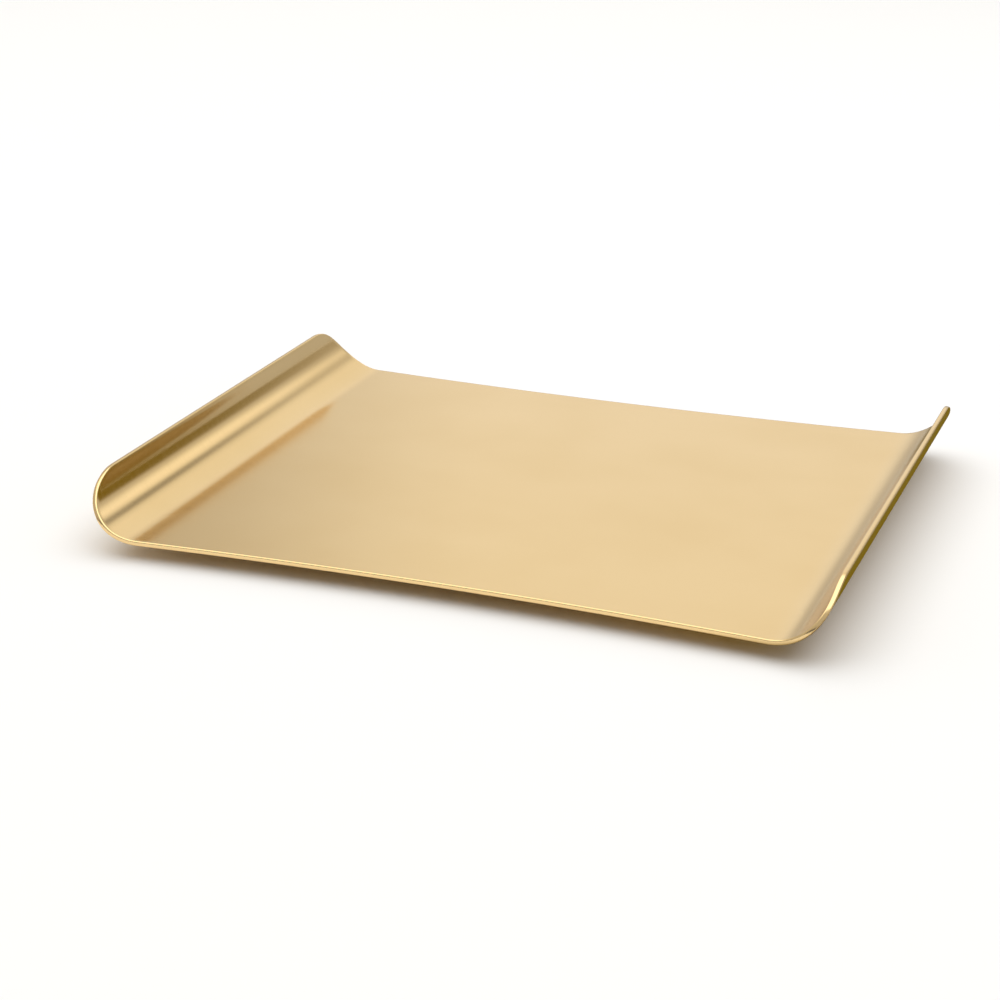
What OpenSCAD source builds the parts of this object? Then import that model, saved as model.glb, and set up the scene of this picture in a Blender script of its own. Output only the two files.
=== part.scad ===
// Serving tray formed from one brass sheet. Both short ends turn up into curved lips,
// the four corners are rounded and the long sides draw in very slightly at mid length.
// Four turned brass feet are soldered under the bed, each with a rubber pad in its base.
// The origin is on the table, under the middle of the tray. X runs from lip to lip.

/* [Sheet] */
// Length of the flat bed, between the two bends
bed_l = 250; // [220:1:300]
// Width at the lips, before the corners are rounded
tray_w = 235; // [180:5:280]
// Thickness of the brass sheet
sheet_t = 2; // [1.5:0.1:3]
// How far each long side draws in at mid length
waist_in = 6.4; // [1:0.2:8]

/* [Lips] */
// Radius of the bend on its hollow side
bend_r = 21; // [20:0.5:24]
// Angle between the lip and the bed
bend_angle = 80; // [76:0.5:84]
// Straight stretch of the lip above the bend
lip_run = 4; // [4:0.5:8]
// Radius of the four rounded corners, seen square on to the lip
corner_r = 23.5; // [16:0.5:24]

/* [Feet] */
// Height of the bed's underside above the table
stand_h = 6.5; // [5:0.5:12]
// Diameter of a foot
foot_d = 18; // [14:1:24]
// Distance of the feet from the middle, along the length
foot_x = 95; // [60:5:95]
// Distance of the feet from the middle, across the width
foot_y = 80; // [50:2:84]
// Thickness of a rubber pad
pad_t = 2.5; // [2:0.1:3]
// How far a pad stands out of its foot
pad_proud = 1.5; // [1:0.1:1.8]

/* [Hidden] */
$fn = 96;

// Stock left on each long side before the outline is cut
trim = 3;
// Half the length of the flat bed
bed_half = bed_l / 2;
// Distance from the middle to the tip of a lip, on its hollow side
tip_x = bed_half + bend_r * sin(bend_angle) + lip_run * cos(bend_angle);
// Height of that tip above the bed's underside
tip_z = sheet_t + bend_r * (1 - cos(bend_angle)) + lip_run * sin(bend_angle);
// Half of the overall length, over the outsides of the lips
half_l = tip_x + sheet_t * sin(bend_angle);
// Radius of the shallow arc along each long side
side_r = (pow(half_l, 2) + pow(waist_in, 2)) / (2 * waist_in);
// Straight cuts that follow that arc, from the middle to each end
side_cuts = 8;
// A corner's arc leaves the edges this far inside them, so the cut is a clean one
corner_bite = 0.03;
// Depth of a cutter that passes right through the lip and its bend
cutter_h = 40;

// Length of the straight stretch that is buried in the bend
lip_root = 0.5;
// The straight stretch is thinner by this much on each face, so it joins the bend cleanly
lip_step = 0.02;

// Wall of a foot around its pad
foot_wall = 1.8;
// Room between a pad and that wall
pad_gap = 0.1;
// Height and width of the solder fillet between a foot and the sheet
solder = 0.8;
// Chamfer round the base of a foot
foot_chamfer = 0.5;

// Half the tray's width at a distance x from the middle
function half_width(x) = tray_w / 2 - waist_in + side_r - sqrt(pow(side_r, 2) - pow(x, 2));

// One bend and the straight stretch of lip above it, at the +X end
module lip(width) {
    translate([bed_half, width / 2, sheet_t + bend_r])
        rotate([90, 0, 0]) {
            rotate_extrude(angle = bend_angle, start = -90)
                translate([bend_r, 0])
                    square([sheet_t, width]);
            rotate([0, 0, bend_angle - 90])
                translate([bend_r + lip_step, -lip_root, 0])
                    cube([sheet_t - 2 * lip_step, lip_run + lip_root, width]);
        }
}

// The sheet bent to shape, before its outline is cut
module bent_strip() {
    width = tray_w + 2 * trim;
    translate([-bed_half, -width / 2, 0])
        cube([bed_l, width, sheet_t]);
    lip(width);
    mirror([1, 0, 0]) lip(width);
}

// Outline of the tray from above, with its long sides drawn in
module plan_outline() {
    reach = half_l + 10;
    xs = [for (i = [-side_cuts : side_cuts]) reach * i / side_cuts];
    polygon(concat(
        [for (x = xs) [x, -half_width(x)]],
        [for (x = xs) [-x, half_width(x)]]
    ));
}

// Stock outside the corner of the +X lip on the +Y side, cut square on to the lip
module corner_waste() {
    side_y = half_width(bed_half + bend_r * sin(bend_angle / 2));
    translate([tip_x, side_y, tip_z])
        rotate([0, 90 - bend_angle, 0])
            rotate([90, 0, 90])
                translate([corner_bite - corner_r, corner_bite - corner_r, -cutter_h / 2])
                    linear_extrude(height = cutter_h)
                        difference() {
                            square(corner_r + 2 * trim);
                            circle(r = corner_r);
                        }
}

module tray_sheet() {
    color("#c9a25b")
        translate([0, 0, stand_h])
            difference() {
                intersection() {
                    bent_strip();
                    translate([0, 0, -5])
                        linear_extrude(height = tip_z + 10)
                            plan_outline();
                }
                for (a = [0, 1], b = [0, 1])
                    mirror([a, 0, 0])
                        mirror([0, b, 0])
                            corner_waste();
            }
}

// Turned brass foot, with a recess for its pad and a solder fillet under the sheet
module foot(side_x, side_y) {
    r = foot_d / 2;
    recess_r = r - foot_wall;
    color("#b8904a")
        translate([side_x * foot_x, side_y * foot_y, 0])
            rotate_extrude()
                polygon([
                    [0, pad_t],
                    [recess_r, pad_t],
                    [recess_r, pad_proud],
                    [r - foot_chamfer, pad_proud],
                    [r, pad_proud + foot_chamfer],
                    [r, stand_h - solder],
                    [r + solder, stand_h],
                    [0, stand_h]
                ]);
}

// Rubber pad that fills the recess and stands on the table
module pad(side_x, side_y) {
    color("#1c1b1a")
        translate([side_x * foot_x, side_y * foot_y, 0])
            cylinder(r = foot_d / 2 - foot_wall - pad_gap, h = pad_t);
}

tray_sheet();
foot(-1, -1);  // foot_front_left
foot(1, -1);  // foot_front_right
foot(-1, 1);  // foot_back_left
foot(1, 1);  // foot_back_right
pad(-1, -1);  // pad_front_left
pad(1, -1);  // pad_front_right
pad(-1, 1);  // pad_back_left
pad(1, 1);  // pad_back_right
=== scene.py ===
# %% [markdown]
# # A brass serving tray
# The tray is one sheet of satin brass with both short ends curled up into lips. It stands on four turned
# brass feet with rubber pads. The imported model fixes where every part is, so this script only gives each
# part its finished shape and its finish.

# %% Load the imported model
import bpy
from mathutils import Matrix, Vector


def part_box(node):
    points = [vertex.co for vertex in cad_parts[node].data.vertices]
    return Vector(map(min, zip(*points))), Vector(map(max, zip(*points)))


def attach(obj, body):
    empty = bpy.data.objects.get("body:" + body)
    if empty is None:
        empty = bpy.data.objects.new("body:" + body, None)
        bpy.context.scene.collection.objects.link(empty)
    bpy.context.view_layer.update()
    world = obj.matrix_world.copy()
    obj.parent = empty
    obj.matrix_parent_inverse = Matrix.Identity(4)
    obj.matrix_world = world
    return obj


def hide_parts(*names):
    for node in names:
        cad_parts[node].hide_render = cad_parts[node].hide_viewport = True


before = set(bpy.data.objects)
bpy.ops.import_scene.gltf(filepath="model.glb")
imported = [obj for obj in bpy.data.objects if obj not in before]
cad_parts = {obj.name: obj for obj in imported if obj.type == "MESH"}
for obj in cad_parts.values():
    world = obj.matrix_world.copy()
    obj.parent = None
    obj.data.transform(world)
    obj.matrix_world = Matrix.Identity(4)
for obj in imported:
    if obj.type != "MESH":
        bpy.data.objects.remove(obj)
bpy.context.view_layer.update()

import math

import bpy
from mathutils import Euler, Vector

# %% [markdown]
# ## Sizes
# The frame is in metres, with the origin on the table under the middle of the tray and X running from lip
# to lip. The box of a CAD part gives its place. The few sizes that a box can't show, such as the radius of
# a bend, are named here in millimetres.

# %% Measure the parts and name the driving sizes
MM = 0.001

sheet_low, sheet_high = (Vector(corner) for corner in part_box("tray_sheet"))
foot_low, foot_high = (Vector(corner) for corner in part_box("foot_front_left"))
pad_low, pad_high = (Vector(corner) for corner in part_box("pad_front_left"))

SHEET_T = 2 * MM
BED_HALF = 125 * MM
BEND_R = 21 * MM
BEND_ANGLE = math.radians(80)
LIP_RUN = 4 * MM
WIDTH_AT_LIPS = 235 * MM
WAIST_IN = 6.4 * MM
CORNER_R = 25.2 * MM
EDGE_R = 0.55 * MM

bed_top = sheet_low.z + SHEET_T
half_length = sheet_high.x
print("bed top at", round(bed_top / MM, 2), "mm, half length", round(half_length / MM, 2), "mm")

# %% [markdown]
# ## Camera
# A product picture of a flat tray is taken from a little above the table and slightly to one side, so that
# the bed, both lips and the near edge all show. The camera aims at a point on the bed. It is placed by
# walking back from that point along its own line of sight, which keeps the heading, the elevation and the
# distance as three separate values that are easy to change.

# %% Make the camera
CAMERA_LENS = 80
CAMERA_ELEVATION = math.radians(21.24)
CAMERA_HEADING = math.radians(21.07)
CAMERA_DISTANCE = 899.6 * MM
CAMERA_AIM = Vector((-9.7 * MM, -23.7 * MM, bed_top))

camera = bpy.data.objects.new("camera", bpy.data.cameras.new("camera"))
camera.data.lens = CAMERA_LENS
camera.rotation_euler = Euler((math.pi / 2 - CAMERA_ELEVATION, 0, CAMERA_HEADING))
line_of_sight = camera.rotation_euler.to_matrix() @ Vector((0, 0, -1))
camera.location = CAMERA_AIM - line_of_sight * CAMERA_DISTANCE
bpy.context.scene.collection.objects.link(camera)
bpy.context.scene.camera = camera
print("camera at", tuple(round(value, 4) for value in camera.location))

# %% [markdown]
# ## Helpers
# Three small functions serve every node tree below. The first turns a colour as a designer writes it, in
# sRGB hex, into the linear values that a shader works with. The second adds a node, sets its properties and
# feeds its inputs: a socket or a node is linked, and anything else is set as the input's own value. The
# third starts a material with an empty node tree.

# %% Colour conversion, the one function that adds a node, and an empty material
def linear(hex_colour):
    """Turn an sRGB hex colour, such as "c9a25b", into linear red, green, blue and alpha."""
    parts = [int(hex_colour[i:i + 2], 16) / 255 for i in (0, 2, 4)]
    return [c / 12.92 if c <= 0.04045 else ((c + 0.055) / 1.055) ** 2.4 for c in parts] + [1]


def add(tree, kind, inputs=(), **settings):
    """Add a node. Inputs are given in order, or by name in a dict. A node stands for its first output."""
    node = tree.nodes.new(kind)
    for name, value in settings.items():
        setattr(node, name, value)
    sockets = [socket for socket in node.inputs if socket.enabled]
    if isinstance(inputs, dict):
        names = [socket.name for socket in sockets]
        sockets = [sockets[names.index(name)] for name in inputs]
        inputs = inputs.values()
    for socket, value in zip(sockets, inputs):
        if isinstance(value, bpy.types.Node):
            value = next(output for output in value.outputs if output.enabled)
        if isinstance(value, bpy.types.NodeSocket):
            tree.links.new(value, socket)
        else:
            socket.default_value = value
    return node


def start_material(name):
    """Make a material with an empty node tree, and return both."""
    material = bpy.data.materials.new(name)
    material.use_nodes = True
    material.node_tree.nodes.clear()
    return material, material.node_tree


print("hex 808080 is", round(linear("808080")[0], 3), "in linear light")

# %% [markdown]
# A Geometry Nodes tree is like a jig in a workshop: it is built once, with its sizes as named inputs, and
# then each piece goes through it. The first function below starts a tree, and the second puts a piece
# through it and keeps the result as a plain mesh. Each piece starts as a chain of points, which is the
# section that the tree then rounds, turns or bends. A grid closes on itself where its ends meet, and points
# closer than `WELD` become one there.

# %% Start a tree, and run a piece through it
WELD = 0.002 * MM


def start_tree(name, sizes):
    """Make a tree whose inputs are the drawn section, its materials and the named sizes."""
    tree = bpy.data.node_groups.new(name, "GeometryNodeTree")
    tree.interface.new_socket("Section", in_out="INPUT", socket_type="NodeSocketGeometry")
    for size, value in sizes.items():
        kind = {int: "NodeSocketInt", float: "NodeSocketFloat", Vector: "NodeSocketVector"}.get(
            type(value), "NodeSocketMaterial")
        tree.interface.new_socket(size, in_out="INPUT", socket_type=kind)
    tree.interface.new_socket("Piece", in_out="OUTPUT", socket_type="NodeSocketGeometry")
    return tree, tree.nodes.new("NodeGroupInput").outputs


def run_tree(tree, name, section, sizes):
    """Draw a section as a chain of points, run the tree on it, and return the piece as a plain mesh."""
    chain = bpy.data.meshes.new(name)
    chain.from_pydata(section, [(i, i + 1) for i in range(len(section) - 1)], [])
    piece = bpy.data.objects.new(name, chain)
    bpy.context.scene.collection.objects.link(piece)
    modifier = piece.modifiers.new(tree.name, "NODES")
    modifier.node_group = tree
    for socket in tree.interface.items_tree:
        if socket.name in sizes:
            modifier[socket.identifier] = sizes[socket.name]
    evaluated = piece.evaluated_get(bpy.context.evaluated_depsgraph_get())
    piece.data = bpy.data.meshes.new_from_object(evaluated)
    piece.modifiers.clear()
    piece.data.name = name
    if piece.data.materials[0] is None:
        piece.data.materials.pop(index=0)
    print(name, len(piece.data.vertices), "points", len(piece.data.polygons), "faces")
    return piece


print("points closer than", WELD / MM, "mm are welded")

# %% [markdown]
# ## Satin brass
# The sheet is yellow brass, brushed along its length with a fine abrasive belt before it is bent, and then
# lacquered. It is nearly a mirror: a lamp shows as a clear patch with a soft border, drawn out a little
# across the strokes. An anisotropic metal shader does exactly that. It needs to know which way the strokes
# run, and the sheet carries that as a map of the flat blank, called `blank`, whose first axis is the
# length. A quarter turn of the tangent sends the spread across the strokes.
#
# Real strokes are a few hundredths of a millimetre wide, too fine to see from here, so they are drawn
# coarser, just wide enough to show as a faint grain.

# %% Material: brushed and lacquered brass
BRASS = "f0d097"
BRASS_DEEP = "e6c383"
STROKE_W = 0.3 * MM
STROKE_L = 45 * MM
CLOUD = 60 * MM

satin, tree = start_material("satin_brass_brushed")
blank_map = add(tree, "ShaderNodeUVMap", uv_map="blank")
stroke_scale = add(tree, "ShaderNodeVectorMath", [blank_map, (1 / STROKE_L, 1 / STROKE_W, 0)],
                   operation="MULTIPLY")
strokes = add(tree, "ShaderNodeTexNoise", {"Vector": stroke_scale, "Scale": 1.0, "Detail": 2.0},
              noise_dimensions="2D")
clouds = add(tree, "ShaderNodeTexNoise", {"Vector": blank_map, "Scale": 1 / CLOUD, "Detail": 2.0},
             noise_dimensions="2D")
roughness = add(tree, "ShaderNodeMapRange", {"Value": strokes, "From Min": 0.3, "From Max": 0.7,
                                             "To Min": 0.12, "To Max": 0.17})
tone = add(tree, "ShaderNodeMapRange", {"Value": clouds, "From Min": 0.3, "From Max": 0.8, "To Max": 0.4})
colour = add(tree, "ShaderNodeMix", {"Factor": tone, "A": linear(BRASS), "B": linear(BRASS_DEEP)},
             data_type="RGBA")
bump = add(tree, "ShaderNodeBump", {"Strength": 0.12, "Distance": 0.02 * MM, "Height": strokes})
along = add(tree, "ShaderNodeTangent", direction_type="UV_MAP", uv_map="blank")
shader = add(tree, "ShaderNodeBsdfPrincipled", {
    "Base Color": colour, "Metallic": 1.0, "Roughness": roughness, "Normal": bump,
    "Anisotropic": 0.35, "Anisotropic Rotation": 0.25, "Tangent": along})
add(tree, "ShaderNodeOutputMaterial", {"Surface": shader})
print(satin.name, "has strokes", round(STROKE_W / MM, 2), "mm wide and", round(STROKE_L / MM), "mm long")

# %% [markdown]
# The edge of the sheet is filed round and polished on a felt wheel. It has no brushed strokes, so it shows
# thin bright and dark lines. The marks that the file left run every way and are about 0.8 mm apart.

# %% Material: filed and polished edge of the sheet
FILE_MARK = 0.8 * MM
edge_brass, tree = start_material("polished_brass_edge")
place = add(tree, "ShaderNodeTexCoord").outputs["Object"]
file_marks = add(tree, "ShaderNodeTexNoise", {"Vector": place, "Scale": 1 / FILE_MARK, "Detail": 2.0})
roughness = add(tree, "ShaderNodeMapRange", {"Value": file_marks, "To Min": 0.1, "To Max": 0.24})
shader = add(tree, "ShaderNodeBsdfPrincipled", {
    "Base Color": linear(BRASS), "Metallic": 1.0, "Roughness": roughness})
add(tree, "ShaderNodeOutputMaterial", {"Surface": shader})
print(edge_brass.name, "has file marks", round(FILE_MARK / MM, 2), "mm apart")

# %% [markdown]
# ## The sheet
# The real tray starts as a flat blank with rounded corners, which is brushed and then pressed round a
# former at each end. The tree works in the same order. The section that goes in is four points: lip tip,
# bend, bend, lip tip. Fillet Curve rounds the two bends, and the length of that curve is the length of the
# blank.

# %% Sheet tree, part 1: the section along the length and the outline of the blank
sheet_sizes = {
    "Satin": satin, "Polished": edge_brass,
    "Bend radius": BEND_R, "Width": WIDTH_AT_LIPS, "Corner radius": CORNER_R,
    "Thickness": SHEET_T, "Edge radius": EDGE_R, "Half length": half_length,
    "Waist": WAIST_IN / (WIDTH_AT_LIPS / 2),
    "Columns": 480, "Rows": 84, "Edge rows": 5, "Bend steps": 64,
}
tree, size = start_tree("formed_sheet", sheet_sizes)

section = add(tree, "GeometryNodeMeshToCurve", {"Mesh": size["Section"]})
section = add(tree, "GeometryNodeFilletCurve", {
    "Curve": section, "Count": size["Bend steps"], "Radius": size["Bend radius"]}, mode="POLY")
length = add(tree, "GeometryNodeCurveLength", [section])
half_blank = add(tree, "ShaderNodeMath", [length, 0.5], operation="MULTIPLY")

outline = add(tree, "GeometryNodeCurvePrimitiveQuadrilateral", {
    "Width": length, "Height": size["Width"]})
outline = add(tree, "GeometryNodeFilletCurve", {
    "Curve": outline, "Count": size["Bend steps"], "Radius": size["Corner radius"]}, mode="POLY")
print("a blank", WIDTH_AT_LIPS / MM, "mm wide with corners of", round(CORNER_R / MM, 1), "mm")

# %% [markdown]
# A grid of points is then laid over the blank. Its columns go once round the outline, and its rows go from
# the middle of the underside, out round the edge, to the middle of the top. Each row is the outline moved
# inwards by a distance called `inset`, so the mesh follows the rounded corners and the edge is made of
# real, rounded faces.

# %% Sheet tree, part 2: number the rows and columns
columns = add(tree, "ShaderNodeMath", [size["Columns"], 1.0], operation="ADD")
rows = add(tree, "ShaderNodeMath", [size["Rows"], 2.0, 2.0], operation="MULTIPLY_ADD")
grid = add(tree, "GeometryNodeMeshGrid", {"Vertices X": columns, "Vertices Y": rows})
index = add(tree, "GeometryNodeInputIndex")
column = add(tree, "FunctionNodeIntegerMath", [index, rows], operation="DIVIDE_FLOOR")
row = add(tree, "FunctionNodeIntegerMath", [index, rows], operation="MODULO")
middle = add(tree, "ShaderNodeMath", [size["Rows"], 0.5], operation="ADD")
from_edge = add(tree, "ShaderNodeMath", [row, middle], operation="SUBTRACT")
side = add(tree, "ShaderNodeMath", [from_edge], operation="SIGN")
step = add(tree, "ShaderNodeMath", [from_edge], operation="ABSOLUTE")
step = add(tree, "ShaderNodeMath", [step, 0.5], operation="SUBTRACT")
print("a grid of", sheet_sizes["Columns"], "columns and", 2 * sheet_sizes["Rows"] + 2, "rows")

# %% Sheet tree, part 3: inset and height of each row
turn = add(tree, "ShaderNodeMapRange", {
    "Value": step, "From Max": size["Edge rows"], "To Max": math.pi / 2})
inset_turned = add(tree, "ShaderNodeMath", [turn], operation="COSINE")
inset_turned = add(tree, "ShaderNodeMath", [1.0, inset_turned], operation="SUBTRACT")
half_width = add(tree, "ShaderNodeMath", [size["Width"], 0.5], operation="MULTIPLY")
inset_flat = add(tree, "ShaderNodeMath", [half_width, size["Edge radius"]], operation="SUBTRACT")
inset_flat = add(tree, "ShaderNodeMapRange", {
    "Value": step, "From Min": size["Edge rows"], "From Max": size["Rows"], "To Max": inset_flat})
inset = add(tree, "ShaderNodeMath", [inset_turned, size["Edge radius"], inset_flat],
            operation="MULTIPLY_ADD")
rise = add(tree, "ShaderNodeMath", [turn], operation="SINE")
rise = add(tree, "ShaderNodeMath", [rise, 1.0], operation="SUBTRACT")
half_thick = add(tree, "ShaderNodeMath", [size["Thickness"], 0.5], operation="MULTIPLY")
height = add(tree, "ShaderNodeMath", [rise, size["Edge radius"], half_thick], operation="MULTIPLY_ADD")
height = add(tree, "ShaderNodeMath", [height, side], operation="MULTIPLY")
print("an edge rounded to", round(EDGE_R / MM, 2), "mm in", sheet_sizes["Edge rows"], "steps")

# %% [markdown]
# A point of the outline is moved inwards in two stages. Until the inset reaches the corner radius, it
# moves towards the nearest point of the core, the rectangle that holds the four corner centres. After
# that, the core itself shrinks. Both stages are one sum, so every row is an exact offset of the outline.

# %% Sheet tree, part 4: lay the grid out as the flat blank
half_size = add(tree, "ShaderNodeCombineXYZ", [half_blank, half_width])
core = add(tree, "ShaderNodeVectorMath", [half_size, size["Corner radius"]], operation="SUBTRACT")
core_half_width = add(tree, "ShaderNodeSeparateXYZ", [core]).outputs["Y"]
girth = add(tree, "GeometryNodeCurveLength", [outline])
share = add(tree, "ShaderNodeMath", [column, size["Columns"]], operation="DIVIDE")
walked = add(tree, "ShaderNodeMath", [share, girth], operation="MULTIPLY")
walked = add(tree, "ShaderNodeMath", [walked, core_half_width], operation="SUBTRACT")
walked = add(tree, "ShaderNodeMath", [walked, girth], operation="FLOORED_MODULO")
on_outline = add(tree, "GeometryNodeSampleCurve", {"Curves": outline, "Length": walked},
                 mode="LENGTH", use_all_curves=True).outputs["Position"]
minus_core = add(tree, "ShaderNodeVectorMath", [core, (-1, -1, 0)], operation="MULTIPLY")
centre = add(tree, "ShaderNodeVectorMath", [on_outline, core], operation="MINIMUM")
centre = add(tree, "ShaderNodeVectorMath", [centre, minus_core], operation="MAXIMUM")
spoke = add(tree, "ShaderNodeVectorMath", [on_outline, centre], operation="SUBTRACT")
kept = add(tree, "ShaderNodeMapRange", {
    "Value": inset, "From Max": size["Corner radius"], "To Min": 1.0, "To Max": 0.0})
spoke = add(tree, "ShaderNodeVectorMath", {"Vector": spoke, "Scale": kept}, operation="SCALE")
deep = add(tree, "ShaderNodeMath", [inset, size["Corner radius"]], operation="MAXIMUM")
shrunk = add(tree, "ShaderNodeVectorMath", [half_size, deep], operation="SUBTRACT")
shrunk = add(tree, "ShaderNodeVectorMath", [shrunk, core], operation="DIVIDE")
centre = add(tree, "ShaderNodeVectorMath", [centre, shrunk], operation="MULTIPLY")
flat = add(tree, "ShaderNodeVectorMath", [centre, spoke], operation="ADD")
flat = add(tree, "ShaderNodeVectorMath", [flat, (1, 1, 0)], operation="MULTIPLY")
lifted = add(tree, "ShaderNodeCombineXYZ", {"Z": height})
flat = add(tree, "ShaderNodeVectorMath", [flat, lifted], operation="ADD")
blank = add(tree, "GeometryNodeStoreNamedAttribute", {
    "Geometry": grid, "Name": "inset", "Value": inset}, data_type="FLOAT", domain="POINT")
blank = add(tree, "GeometryNodeSetPosition", {"Geometry": blank, "Position": flat})
blank = add(tree, "GeometryNodeStoreNamedAttribute", {
    "Geometry": blank, "Name": "blank", "Value": add(tree, "GeometryNodeInputPosition")},
    data_type="FLOAT2", domain="CORNER")
print("the flat blank is laid out by", len(tree.nodes), "nodes")

# %% [markdown]
# Pressing the blank is one lookup. A point's distance along the blank is looked up on the section curve,
# which gives its place on the top face and the direction of the sheet there. Depth below the top face is
# measured square to that direction. Last, the sides are drawn in a little towards mid length.

# %% Sheet tree, part 5: press the blank into the section
spot = add(tree, "ShaderNodeSeparateXYZ", [add(tree, "GeometryNodeInputPosition")])
along = add(tree, "ShaderNodeMath", [spot.outputs["X"], half_blank], operation="ADD")
on_section = add(tree, "GeometryNodeSampleCurve", {"Curves": section, "Length": along},
                 mode="LENGTH", use_all_curves=True)
square_to = add(tree, "ShaderNodeVectorMath", [on_section.outputs["Tangent"], (0, 1, 0)],
                operation="CROSS_PRODUCT")
square_to = add(tree, "ShaderNodeVectorMath", [square_to], operation="NORMALIZE")
depth = add(tree, "ShaderNodeMath", [spot.outputs["Z"], half_thick], operation="SUBTRACT")
below = add(tree, "ShaderNodeVectorMath", {"Vector": square_to, "Scale": depth}, operation="SCALE")
bent = add(tree, "ShaderNodeVectorMath", [on_section.outputs["Position"], below], operation="ADD")

far = add(tree, "ShaderNodeSeparateXYZ", [bent])
far = add(tree, "ShaderNodeMath", [far, size["Half length"]], operation="DIVIDE")
far = add(tree, "ShaderNodeMath", [far, 2.0], operation="POWER")
drawn = add(tree, "ShaderNodeMath", [far, 1.0], operation="SUBTRACT")
drawn = add(tree, "ShaderNodeMath", [drawn, size["Waist"], 1.0], operation="MULTIPLY_ADD")
across = add(tree, "ShaderNodeMath", [spot.outputs["Y"], drawn], operation="MULTIPLY")
across = add(tree, "ShaderNodeCombineXYZ", {"Y": across})
bent = add(tree, "ShaderNodeVectorMath", [bent, across], operation="ADD")
print("each side is drawn in by", round(WAIST_IN / MM, 1), "mm at mid length")

# %% Sheet tree, part 6: join the seam, smooth it and give the edge its own finish
sheet = add(tree, "GeometryNodeSetPosition", {"Geometry": blank, "Position": bent})
sheet = add(tree, "GeometryNodeMergeByDistance", {"Geometry": sheet, "Distance": WELD})
sheet = add(tree, "GeometryNodeSetShadeSmooth", {"Geometry": sheet})
sheet = add(tree, "GeometryNodeRealizeInstances", {"Geometry": sheet})
sheet = add(tree, "GeometryNodeSetMaterial", {"Geometry": sheet, "Material": size["Satin"]})
stored_inset = add(tree, "GeometryNodeInputNamedAttribute", {"Name": "inset"}, data_type="FLOAT")
on_edge = add(tree, "FunctionNodeCompare", [stored_inset, size["Edge radius"]],
              data_type="FLOAT", operation="LESS_THAN")
sheet = add(tree, "GeometryNodeSetMaterial", {
    "Geometry": sheet, "Selection": on_edge, "Material": size["Polished"]})
add(tree, "NodeGroupOutput", [sheet])
print(tree.name, "is complete with", len(tree.nodes), "nodes")

# %% [markdown]
# The four points are the corners of the section before it is rounded. A bend's two straight sides would
# meet at its fold. The tip lies along the lip, as far from the fold as the bend and the straight need.

# %% Press the sheet
fold_to_bend = BEND_R * math.tan(BEND_ANGLE / 2)
fold_x = BED_HALF + fold_to_bend
tip_x = fold_x + (fold_to_bend + LIP_RUN) * math.cos(BEND_ANGLE)
tip_z = bed_top + (fold_to_bend + LIP_RUN) * math.sin(BEND_ANGLE)
section_points = [(-tip_x, 0, tip_z), (-fold_x, 0, bed_top), (fold_x, 0, bed_top), (tip_x, 0, tip_z)]
formed_sheet = run_tree(tree, "formed_sheet", section_points, sheet_sizes)
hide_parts("tray_sheet")
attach(formed_sheet, "root")

# %% [markdown]
# ## Turned brass, solder and rubber
# The feet are turned from brass bar. A lathe tool leaves fine rings round the axis, so the light spreads
# across them as it does across the strokes on the sheet. The rings follow a map called `turned`, whose first
# axis goes round the foot and whose second is the distance along its section. The real rings are about
# 0.08 mm apart and are drawn three times as wide, so that they show.
#
# Silver solder, melted into the corner between foot and sheet, sets pale, smooth and slightly lumpy. The
# pads are moulded in black nitrile rubber. Rubber is dull and dark, with a fine grain from the mould.

# %% Material: turned brass
RING = 0.25 * MM
turned_brass, tree = start_material("lathe_turned_brass")
turned_map = add(tree, "ShaderNodeUVMap", uv_map="turned")
ring_scale = add(tree, "ShaderNodeVectorMath", [turned_map, (1, 1 / RING, 0)], operation="MULTIPLY")
rings = add(tree, "ShaderNodeTexNoise", {"Vector": ring_scale, "Scale": 1.0, "Detail": 2.0},
            noise_dimensions="2D")
roughness = add(tree, "ShaderNodeMapRange", {"Value": rings, "To Min": 0.2, "To Max": 0.38})
bump = add(tree, "ShaderNodeBump", {"Strength": 0.3, "Distance": 0.02 * MM, "Height": rings})
around = add(tree, "ShaderNodeTangent", direction_type="UV_MAP", uv_map="turned")
shader = add(tree, "ShaderNodeBsdfPrincipled", {
    "Base Color": linear(BRASS_DEEP), "Metallic": 1.0, "Roughness": roughness, "Normal": bump,
    "Anisotropic": 0.6, "Anisotropic Rotation": 0.25, "Tangent": around})
add(tree, "ShaderNodeOutputMaterial", {"Surface": shader})
print(turned_brass.name, "has rings", round(RING / MM, 2), "mm apart")

# %% Material: silver solder
SOLDER_COLOUR = "dcd3b4"
SOLDER_LUMP = 1.2 * MM
silver_solder, tree = start_material("silver_solder")
place = add(tree, "ShaderNodeTexCoord").outputs["Object"]
lumps = add(tree, "ShaderNodeTexNoise", {"Vector": place, "Scale": 1 / SOLDER_LUMP, "Detail": 2.0})
roughness = add(tree, "ShaderNodeMapRange", {"Value": lumps, "To Min": 0.25, "To Max": 0.45})
bump = add(tree, "ShaderNodeBump", {"Strength": 0.4, "Distance": 0.1 * MM, "Height": lumps})
shader = add(tree, "ShaderNodeBsdfPrincipled", {
    "Base Color": linear(SOLDER_COLOUR), "Metallic": 1.0, "Roughness": roughness, "Normal": bump})
add(tree, "ShaderNodeOutputMaterial", {"Surface": shader})
print(silver_solder.name, "has lumps", round(SOLDER_LUMP / MM, 2), "mm apart")

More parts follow.
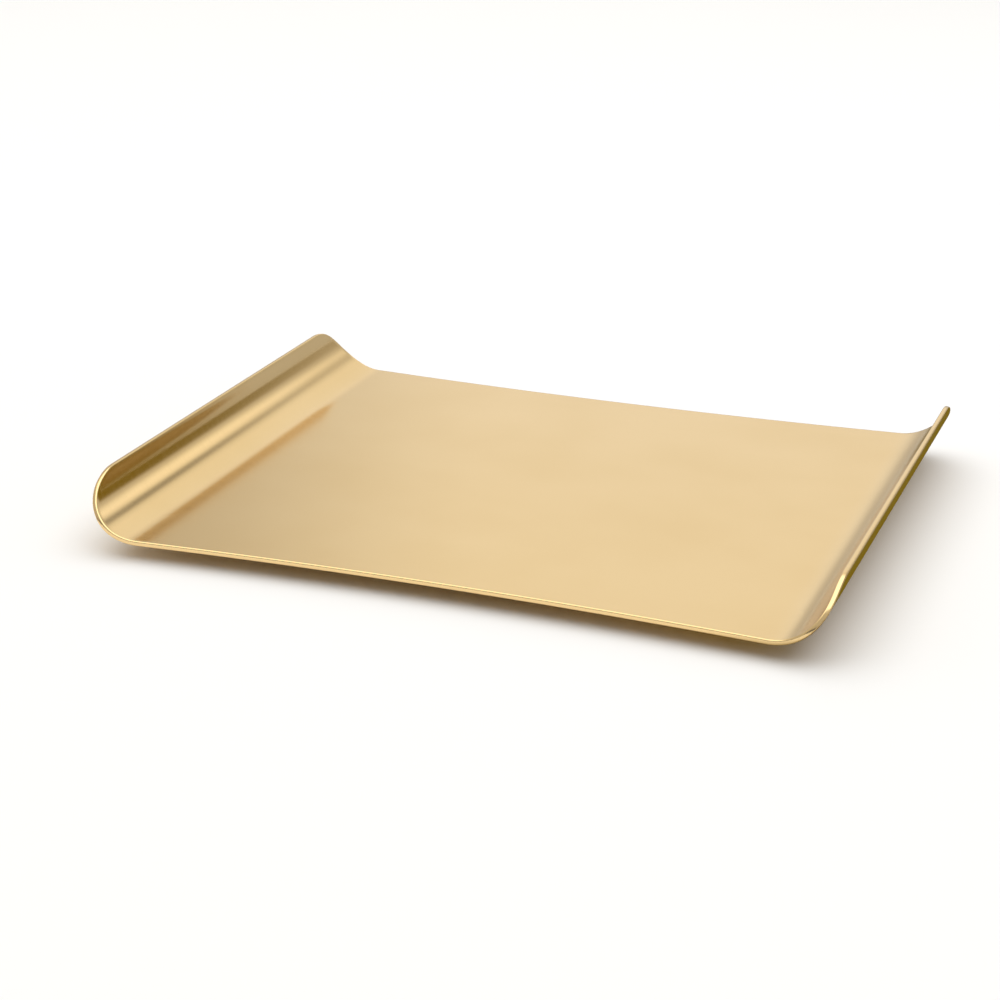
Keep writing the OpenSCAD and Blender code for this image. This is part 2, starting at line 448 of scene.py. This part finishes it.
# %% Material: moulded black rubber
RUBBER_DARK = "191817"
RUBBER_WORN = "2a2826"
RUBBER_GRAIN = 0.25 * MM
rubber, tree = start_material("moulded_nitrile_rubber")
place = add(tree, "ShaderNodeTexCoord").outputs["Object"]
grain = add(tree, "ShaderNodeTexNoise", {"Vector": place, "Scale": 1 / RUBBER_GRAIN, "Detail": 3.0})
colour = add(tree, "ShaderNodeMix", {"Factor": grain, "A": linear(RUBBER_DARK), "B": linear(RUBBER_WORN)},
             data_type="RGBA")
roughness = add(tree, "ShaderNodeMapRange", {"Value": grain, "To Min": 0.5, "To Max": 0.75})
bump = add(tree, "ShaderNodeBump", {"Strength": 0.5, "Distance": 0.04 * MM, "Height": grain})
shader = add(tree, "ShaderNodeBsdfPrincipled", {
    "Base Color": colour, "Roughness": roughness, "IOR": 1.52, "Normal": bump})
add(tree, "ShaderNodeOutputMaterial", {"Surface": shader})
print(rubber.name, "has a grain of", round(RUBBER_GRAIN / MM, 2), "mm")

# %% [markdown]
# ## The feet
# Feet, solder beads and pads are all round, so one tree serves them all as a lathe. Half of the section goes
# in, from the axis round the outside and back to the axis. Fillet Curve breaks the sharp corners. A grid
# then gives one row to each point of the section and one column to each step round the axis. Blender has a
# Spin tool too, but it keeps no map of the surface, and the turning marks need one.

# %% Lathe tree, part 1: a grid whose rows follow the section
turned_sizes = {"Finish": turned_brass, "Rounding": 0.2 * MM, "Rounding steps": 6, "Segments": 96,
                "Place": Vector()}
tree, size = start_tree("turned_part", turned_sizes)

section = add(tree, "GeometryNodeMeshToCurve", {"Mesh": size["Section"]})
section = add(tree, "GeometryNodeFilletCurve", {
    "Curve": section, "Count": size["Rounding steps"], "Radius": size["Rounding"], "Limit Radius": True},
    mode="POLY")
rows = add(tree, "GeometryNodeAttributeDomainSize", [section], component="CURVE").outputs["Point Count"]
columns = add(tree, "ShaderNodeMath", [size["Segments"], 1.0], operation="ADD")
grid = add(tree, "GeometryNodeMeshGrid", {"Vertices X": columns, "Vertices Y": rows})
index = add(tree, "GeometryNodeInputIndex")
column = add(tree, "FunctionNodeIntegerMath", [index, rows], operation="DIVIDE_FLOOR")
row = add(tree, "FunctionNodeIntegerMath", [index, rows], operation="MODULO")
on_section = add(tree, "GeometryNodeSampleIndex", {
    "Geometry": section, "Value": add(tree, "GeometryNodeInputPosition"), "Index": row},
    data_type="FLOAT_VECTOR", domain="POINT")
walked = add(tree, "GeometryNodeSampleIndex", {
    "Geometry": section, "Value": add(tree, "GeometryNodeSplineParameter").outputs["Length"], "Index": row},
    data_type="FLOAT", domain="POINT")
print("a lathe with", turned_sizes["Segments"], "steps round the axis")

# %% Lathe tree, part 2: store the map, turn the section and put the part in its place
share = add(tree, "ShaderNodeMath", [column, size["Segments"]], operation="DIVIDE")
strip = add(tree, "GeometryNodeSetPosition", {
    "Geometry": grid, "Position": add(tree, "ShaderNodeCombineXYZ", [share, walked])})
strip = add(tree, "GeometryNodeStoreNamedAttribute", {
    "Geometry": strip, "Name": "turned", "Value": add(tree, "GeometryNodeInputPosition")},
    data_type="FLOAT2", domain="CORNER")
angle = add(tree, "ShaderNodeMath", [share, math.tau], operation="MULTIPLY")
turned = add(tree, "ShaderNodeVectorRotate", {"Vector": on_section, "Angle": angle}, rotation_type="Z_AXIS")
turned = add(tree, "ShaderNodeVectorMath", [turned, size["Place"]], operation="ADD")
part = add(tree, "GeometryNodeSetPosition", {"Geometry": strip, "Position": turned})
part = add(tree, "GeometryNodeMergeByDistance", {"Geometry": part, "Distance": WELD})
part = add(tree, "GeometryNodeSetShadeSmooth", {"Geometry": part})
part = add(tree, "GeometryNodeRealizeInstances", {"Geometry": part})
part = add(tree, "GeometryNodeSetMaterial", {"Geometry": part, "Material": size["Finish"]})
add(tree, "NodeGroupOutput", [part])
lathe = tree
print(lathe.name, "is complete with", len(lathe.nodes), "nodes")

# %% [markdown]
# The sections below are in the XZ plane, with X as the radius. A foot has a recess in its base, which holds
# the pad on three sides. The solder bead is hollow on its outside, because molten solder climbs both faces.
# A pad stands out of its foot and has a shallow dish in its base, which leaves a ring that grips the table.

# %% Sections of a foot, a solder bead and a pad
SOLDER = 0.8 * MM
FOOT_CHAMFER = 0.5 * MM
PAD_GAP = 0.1 * MM
DISH_R = 4.2 * MM
DISH_DEEP = 0.5 * MM
PAD_ROUNDING = 0.3 * MM
SOLDER_STEPS = 10

foot_r = (foot_high.x - foot_low.x) / 2 - SOLDER
pad_r = (pad_high.x - pad_low.x) / 2
recess_r = pad_r + PAD_GAP
foot_section = [
    (0, 0, pad_high.z), (recess_r, 0, pad_high.z), (recess_r, 0, foot_low.z),
    (foot_r - FOOT_CHAMFER, 0, foot_low.z), (foot_r, 0, foot_low.z + FOOT_CHAMFER),
    (foot_r, 0, foot_high.z), (0, 0, foot_high.z)]
pad_section = [
    (0, 0, DISH_DEEP), (DISH_R, 0, DISH_DEEP), (DISH_R + DISH_DEEP, 0, 0),
    (pad_r, 0, 0), (pad_r, 0, pad_high.z), (0, 0, pad_high.z)]
hollow = [math.pi / 2 * (1 - i / SOLDER_STEPS) for i in range(SOLDER_STEPS + 1)]
solder_section = [(foot_r, 0, foot_high.z)] + [
    (foot_r + SOLDER * (1 - math.sin(a)), 0, foot_high.z - SOLDER * (1 - math.cos(a))) for a in hollow
] + [(foot_r, 0, foot_high.z)]
print("foot radius", round(foot_r / MM, 2), "mm, pad radius", round(pad_r / MM, 2), "mm")

# %% Turn the four feet, their solder beads and their pads
for corner in ("front_left", "front_right", "back_left", "back_right"):
    low, high = (Vector(point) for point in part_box("foot_" + corner))
    place = Vector(((low.x + high.x) / 2, (low.y + high.y) / 2, 0))
    foot = run_tree(lathe, "turned_foot_" + corner, foot_section, turned_sizes | {"Place": place})
    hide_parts("foot_" + corner)
    bead = run_tree(lathe, "solder_bead_" + corner, solder_section, turned_sizes | {
        "Place": place, "Finish": silver_solder, "Rounding": 0.0})
    pad = run_tree(lathe, "rubber_pad_" + corner, pad_section, turned_sizes | {
        "Place": place, "Finish": rubber, "Rounding": PAD_ROUNDING})
    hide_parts("pad_" + corner)
    for piece, slot in ((foot, "turned_brass"), (bead, "turned_brass"), (pad, "black_rubber")):
        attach(piece, "root")

# %% [markdown]
# ## Floor and light
# A studio picture of polished ware is mostly a picture of what surrounds it. The room is pale, with a large
# white panel and a small, brighter one behind the tray, and another large one overhead that lights the
# table. Towards the viewer and at the far right there are dark cards. That is what gives the metal its dark
# bands and draws its edges.

# %% Pale floor
FLOOR_HALF = 12
floor_corners = [(x * FLOOR_HALF, y * FLOOR_HALF, 0) for x, y in ((-1, -1), (1, -1), (1, 1), (-1, 1))]
floor_mesh = bpy.data.meshes.new("floor")
floor_mesh.from_pydata(floor_corners, [], [(0, 1, 2, 3)])
floor = bpy.data.objects.new("floor", floor_mesh)
bpy.context.scene.collection.objects.link(floor)
paper, tree = start_material("white_paper")
shader = add(tree, "ShaderNodeBsdfDiffuse", {"Color": linear("f6f5f3")})
add(tree, "ShaderNodeOutputMaterial", {"Surface": shader})
floor_mesh.materials.append(paper)
print("a floor", 2 * FLOOR_HALF, "m wide")

# %% [markdown]
# A panel is a flat sheet that glows. Its borders fade to nothing, as the cloth of a real softbox does, so
# its reflection in the metal has no hard edge. Its place is given as the tray sees it: azimuth 0 is straight
# behind the tray and grows to the right, and its half width and half height are angles too.

# %% A glowing panel with soft borders
def panel(name, azimuth, elevation, distance, half_wide, half_tall, glow, soft_wide, soft_tall,
          tint="ffffff"):
    """Hang a panel that faces the tray. Soft is the share of each half size over which the glow fades."""
    a, e = math.radians(azimuth), math.radians(elevation)
    away = Vector((math.sin(a) * math.cos(e), math.cos(a) * math.cos(e), math.sin(e)))
    mesh = bpy.data.meshes.new(name)
    mesh.from_pydata([(-1, -1, 0), (1, -1, 0), (1, 1, 0), (-1, 1, 0)], [], [(0, 1, 2, 3)])
    cloth = bpy.data.objects.new(name, mesh)
    cloth.location = away * distance
    cloth.rotation_euler = away.to_track_quat("Z", "Y").to_euler()
    cloth.scale = [distance * math.tan(math.radians(half)) for half in (half_wide, half_tall)] + [1]
    cloth.visible_camera = False
    bpy.context.scene.collection.objects.link(cloth)
    material, tree = start_material(name)
    spot = add(tree, "ShaderNodeTexCoord").outputs["Object"]
    spot = add(tree, "ShaderNodeVectorMath", [spot], operation="ABSOLUTE")
    spot = add(tree, "ShaderNodeSeparateXYZ", [spot])
    fades = [add(tree, "ShaderNodeMapRange", {"Value": spot.outputs[axis], "From Min": 1.0,
                                              "From Max": 1 - soft}, interpolation_type="SMOOTHSTEP")
             for axis, soft in (("X", soft_wide), ("Y", soft_tall))]
    share = add(tree, "ShaderNodeMath", fades, operation="MULTIPLY")
    light = add(tree, "ShaderNodeEmission", {"Color": linear(tint), "Strength": glow})
    clear = add(tree, "ShaderNodeBsdfTransparent")
    faded = add(tree, "ShaderNodeMixShader", [share, clear, light])
    add(tree, "ShaderNodeOutputMaterial", {"Surface": faded})
    mesh.materials.append(material)
    print(name, "at azimuth", azimuth, "and elevation", elevation)
    return cloth


# %% [markdown]
# The numbers of a panel are its azimuth, elevation and distance, its half width and half height, its glow,
# and how much of each half fades. Distance is in metres and the angles are in degrees.

# %% Hang the bright panels
panel("panel_back_left", -10, 29, 2.3, 25, 25, 0.95, 0.6, 0.5)
panel("panel_back_right", 26, 24, 2.2, 12, 13, 1.2, 0.9, 0.9)
panel("panel_overhead", 0, 90, 3.0, 45, 45, 1.8, 0.3, 0.3)

# %% [markdown]
# Flags are the opposite of panels: dark cards that take light away. A grey one hangs between the two panels
# and draws the thin dark line along the left lip's bend. A brown one at the far right makes the dark patch
# of that lip, as a wooden wall would. Its yellow looks brown because it glows so faintly. Black ones stand
# in front, and the tall one there only keeps light off the table, so that the gap under the tray is dark:
# the metal doesn't mirror it.

# %% Stand the flags
FLAG_GLOW = 0.02
GREY_GLOW = 0.3
BROWN = "ffdd3f"
BROWN_GLOW = 0.2
panel("flag_between", 16.5, 33.5, 2.0, 5.5, 7.5, GREY_GLOW, 0.9, 0.9)
panel("flag_right", 46, 0, 2.8, 22, 14, BROWN_GLOW, 0.45, 0.35, BROWN)
panel("flag_front_low", 180, 0, 1.6, 60, 10, FLAG_GLOW, 0.2, 0.4)
panel("flag_front_tall", 180, 0, 1.7, 60, 38, FLAG_GLOW, 0.3, 0.4).visible_glossy = False

# %% [markdown]
# Three cards lie on the table behind the tray and beside its right lip. They are seen only in the metal,
# where they take the place of the white table: the grey and the brown one keep the left lip from mirroring
# it, and the white one keeps the brown one out of the right lip's outer face. Each is a panel laid flat. A
# card that overlaps another lies a little higher, so that the two don't fight for the same place.

# %% Lay the cards
CARD_LIFT = 1 * MM
for name, middle, half, turn, glow, tint, lift in (
        ("grey_card", (0.30, 0.85), (0.75, 0.72), 0, 0.55, "ffffff", 1),
        ("brown_card", (0.76, 0.51), (0.50, 0.90), 34, BROWN_GLOW, BROWN, 2),
        ("white_card", (0.26, 0.00), (0.108, 0.16), 0, 0.6, "ffffff", 3)):
    card = panel(name, 0, 0, 1.0, 45, 45, glow, 0.3, 0.05, tint)
    card.location = (middle[0], middle[1], lift * CARD_LIFT)
    card.rotation_euler = (0, 0, -math.radians(turn))
    card.scale = (half[0], half[1], 1)
    card.visible_diffuse = False
    card.visible_shadow = False
    print(card.name, "laid at", middle)

# %% [markdown]
# The room itself is an even pale grey, slightly warm. The picture is shown with plain sRGB, which keeps the
# table as white as paper, where a film-like tone curve would turn it grey.

# %% A pale room
ROOM_COLOUR = "c6c4c0"
world = bpy.data.worlds.new("pale_room")
bpy.context.scene.world = world
world.use_nodes = True
background = world.node_tree.nodes["Background"]
background.inputs["Color"].default_value = linear(ROOM_COLOUR)
background.inputs["Strength"].default_value = 1.0
bpy.context.scene.view_settings.view_transform = "Standard"
print(world.name, "in", ROOM_COLOUR)
